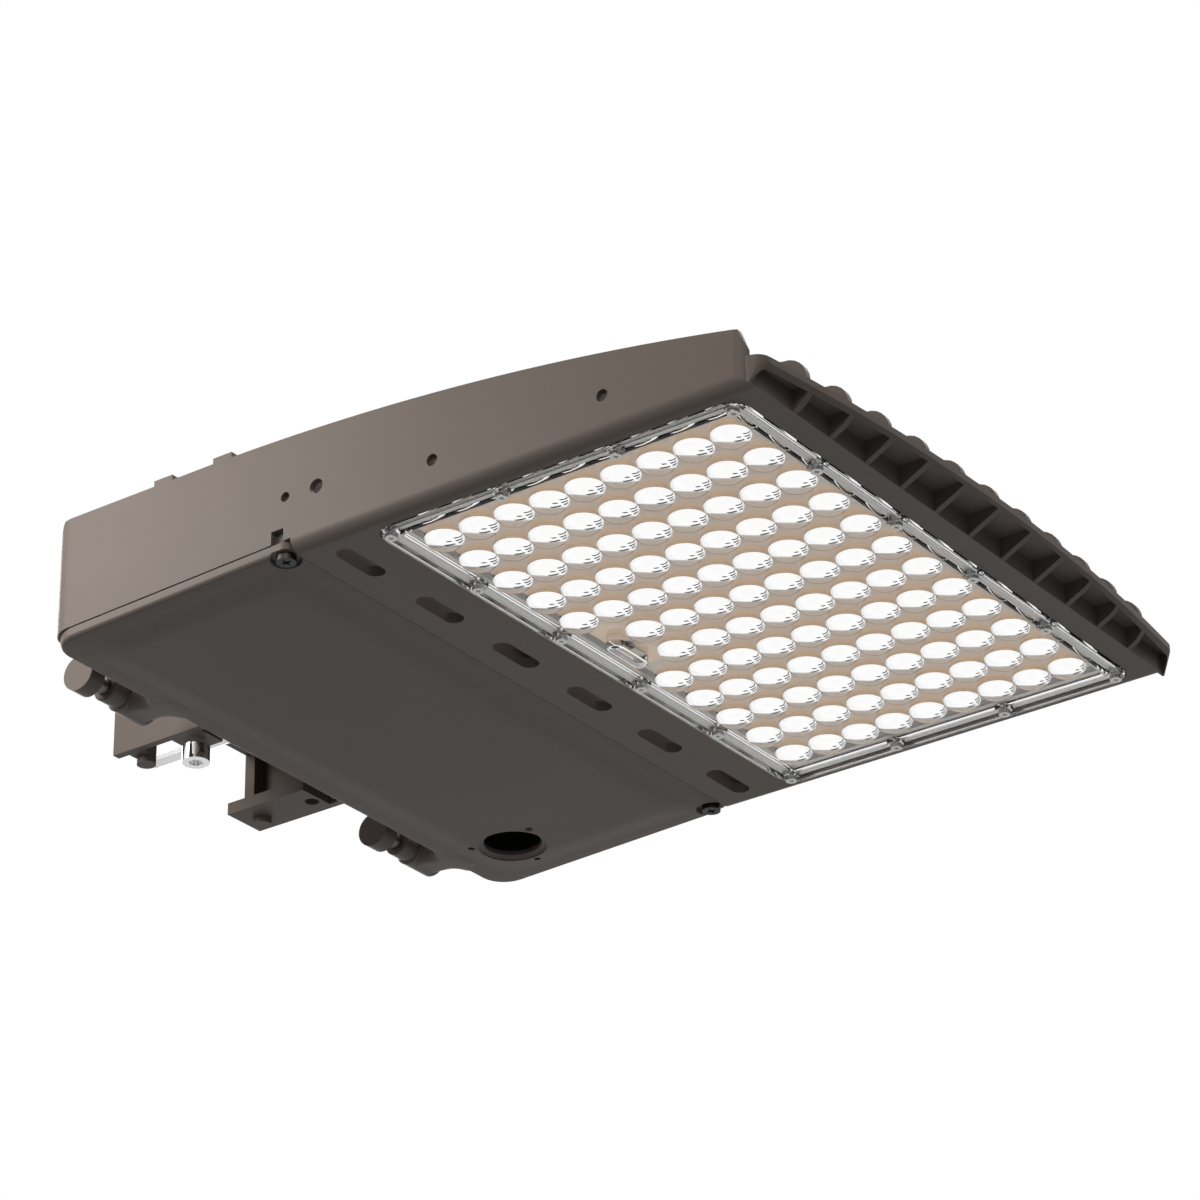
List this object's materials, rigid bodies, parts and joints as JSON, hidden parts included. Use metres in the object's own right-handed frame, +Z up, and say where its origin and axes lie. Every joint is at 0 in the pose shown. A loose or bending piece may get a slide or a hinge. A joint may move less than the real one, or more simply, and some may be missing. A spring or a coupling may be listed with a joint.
{
  "type": "shoebox area light",
  "caption": "Flat shoebox area light for a square pole: cast finned housing, clear lens plate, hinged driver door held by captive screws, and a short pole arm on tie rods.",
  "frame": {"origin": "on the pole face of the arm, midway between the two tie rods", "axes": "+X away from the pole, +Z up so that the light shines towards -Z, and +Y completes the right-handed frame; the sensor opening is on the +Y side"},
  "size_m": [0.4745, 0.3294, 0.0703],
  "materials": {
    "housing_paint": "fine-textured powder coat on die-cast aluminium, warm bronze grey",
    "door_paint": "fine-textured powder coat on die-cast aluminium, dark bronze",
    "arm_paint": "fine-textured powder coat on welded aluminium plates, warm bronze grey",
    "clear_plastic": "clear moulded optical plastic",
    "seal_rubber": "dark sealing rubber",
    "pale_rubber": "pale silicone seal",
    "bright_steel": "bright plated steel",
    "screw_steel": "stainless steel",
    "dark_screw": "dulled stainless steel",
    "board_white": "white solder mask on an aluminium core board",
    "phosphor": "light source package with a yellow window",
    "pad_grey": "heat-conducting pad",
    "plug_white": "white connector plastic",
    "case_metal": "plain metal case, potted",
    "block_plastic": "cream terminal plastic",
    "surge_plastic": "grey-beige potted case",
    "strap_steel": "zinc-plated strip",
    "brass": "brass",
    "green_wire": "green wire insulation",
    "red_wire": "red wire insulation",
    "white_wire": "white wire insulation",
    "black_wire": "black wire insulation",
    "ground_metal": "steel screw with a green finish"
  },
  "bodies": {
    "fixture": {"housing": "housing_paint", "hinge_pins": "screw_steel", "lens_plate": "clear_plastic", "lens_gasket": "pale_rubber", "lens_screws": "screw_steel", "led_board": "board_white", "led_chips": "phosphor", "thermal_pad": "pad_grey", "board_screws": "screw_steel", "board_connector": "plug_white", "led_lead": "black_wire", "lead_grommet": "seal_rubber", "led_driver": "case_metal", "driver_screws": "screw_steel", "surge_protector": "surge_plastic", "surge_bracket": "strap_steel", "surge_screws": "screw_steel", "terminal_block": "block_plastic", "terminal_screws": "brass", "block_screws": "screw_steel", "ground_screw": "ground_metal", "driver_input_lead": "white_wire", "surge_lead": "red_wire", "ground_lead": "green_wire", "arm_cheek_left": "arm_paint", "arm_cheek_right": "arm_paint", "arm_top_plate": "arm_paint", "arm_pole_plate": "arm_paint", "arm_end_plate": "arm_paint", "arm_gasket": "seal_rubber", "arm_screws": "screw_steel", "tie_rods": "bright_steel", "rod_washers": "screw_steel", "rod_nuts": "screw_steel", "lock_nut": "screw_steel", "cable_grommet": "seal_rubber"},
    "door": {"driver_door": "door_paint", "door_gasket": "seal_rubber"},
    "catch_left": {"captive_screw_left": "dark_screw", "retainer_left": "screw_steel"},
    "catch_right": {"captive_screw_right": "dark_screw", "retainer_right": "screw_steel"},
    "lock": {"lock_screw": "bright_steel"}
  },
  "joints": [
    {"name": "door_hinge", "type": "hinge", "parent": "fixture", "child": "door", "pos_m": [0.0402, 0, -0.0295], "axis": [0, 1, 0], "range_deg": [0, 95]},
    {"name": "catch_left_turn", "type": "hinge", "parent": "door", "child": "catch_left", "pos_m": [0.1915, -0.15825, -0.035], "axis": [0, 0, 1], "continuous": true},
    {"name": "catch_right_turn", "type": "hinge", "parent": "door", "child": "catch_right", "pos_m": [0.1915, 0.15825, -0.035], "axis": [0, 0, 1], "continuous": true},
    {"name": "lock_turn", "type": "hinge", "parent": "fixture", "child": "lock", "pos_m": [0.0415, -0.042, -0.0363], "axis": [0, 0, 1], "continuous": true}
  ]
}
